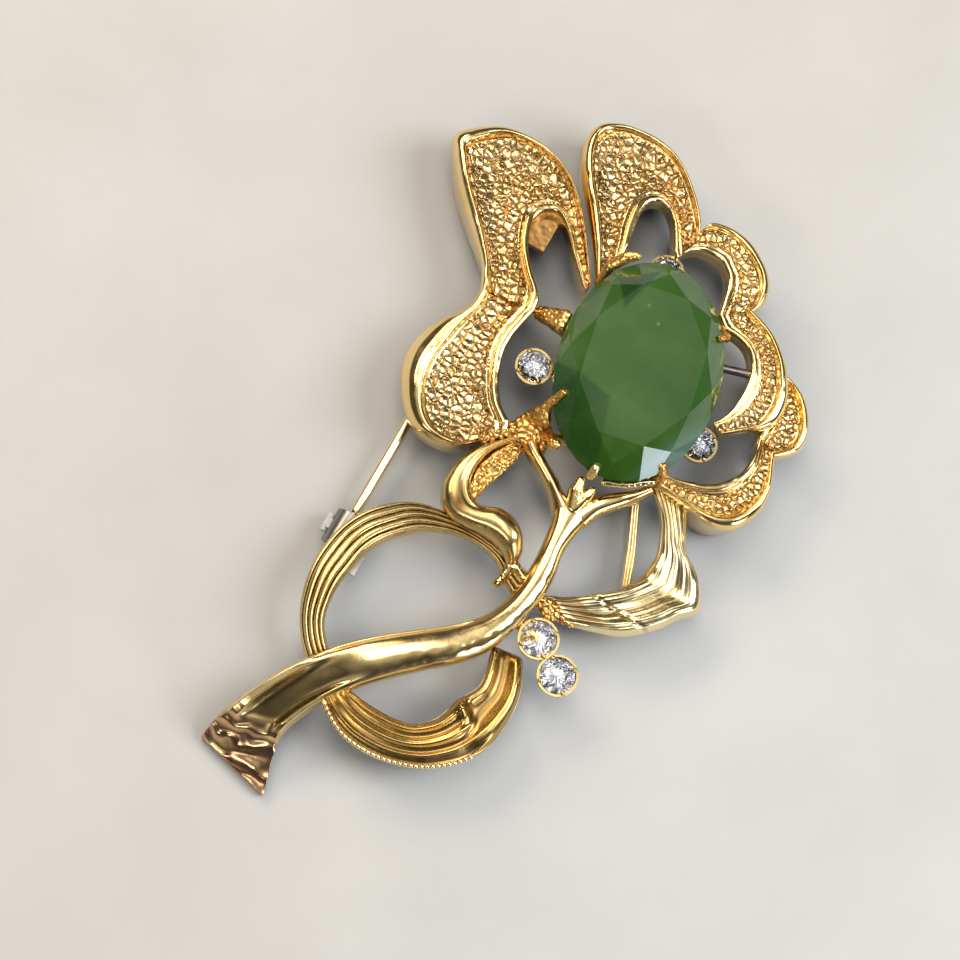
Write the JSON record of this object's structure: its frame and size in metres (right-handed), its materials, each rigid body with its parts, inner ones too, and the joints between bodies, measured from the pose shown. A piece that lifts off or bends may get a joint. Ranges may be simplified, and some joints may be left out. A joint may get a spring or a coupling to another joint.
{
  "type": "brooch",
  "caption": "Openwork flower spray brooch: folded textured petals round an oval faceted stone, a stem with ribbon loops and a leaf, round stones, hinged pin and turning safety catch",
  "frame": {"origin": "middle of the table under the brooch, which lies on its back", "axes": "+Y along the brooch towards the flower's top, +X towards the wearer-side right of the front view, +Z out of the front"},
  "size_m": [0.0363, 0.0606, 0.0093],
  "materials": {
    "gold": "polished",
    "rhodium": "polished",
    "pin_gold": "polished",
    "green_stone": "polished",
    "crystal": "polished"
  },
  "bodies": {
    "brooch": {"petal_upper_left": "gold", "petal_left": "gold", "petal_top": "gold", "petal_upper_right": "gold", "petal_right": "gold", "petal_far_right": "gold", "petal_lower_right": "gold", "stem": "gold", "stem_arm_left": "gold", "stem_arm_right": "gold", "bud": "gold", "scroll": "gold", "scroll_lining": "gold", "tendril": "gold", "loop_upper": "gold", "loop_lower": "gold", "milgrain_beads": "gold", "leaf_right": "gold", "leaf_brace": "gold", "leaf_calyx": "gold", "setting_basket": "gold", "setting_root": "gold", "gallery_strip": "gold", "claw_left": "gold", "claw_lower_left": "gold", "claw_ball": "gold", "claw_upper_left": "gold", "claw_upper_right": "gold", "claw_lower_right": "gold", "claw_bottom": "gold", "centre_stone": "green_stone", "cup_left": "gold", "cup_top": "gold", "cup_right": "gold", "cup_stem_upper": "gold", "cup_stem_lower": "gold", "chaton_left": "crystal", "chaton_top": "crystal", "chaton_right": "crystal", "chaton_stem_upper": "crystal", "chaton_stem_lower": "crystal", "post_left": "gold", "post_top": "gold", "post_right": "gold", "post_side": "rhodium", "post_root": "gold", "post_foot": "gold", "post_stem": "gold", "hinge_plate": "rhodium", "hinge_rivet": "rhodium", "catch_housing": "rhodium"},
    "pin": {"pin_stem": "pin_gold"},
    "sleeve": {"catch_sleeve": "rhodium"}
  },
  "joints": [
    {"name": "pin_hinge", "type": "hinge", "parent": "brooch", "child": "pin", "pos_m": [-0.00945, 0.0195, 0.0019], "axis": [1, 0, 0], "range_deg": [0, 100]},
    {"name": "catch_turn", "type": "hinge", "parent": "brooch", "child": "sleeve", "pos_m": [-0.00945, -0.0097, 0.0019], "axis": [0, -1, 0], "range_deg": [0, 80]}
  ]
}
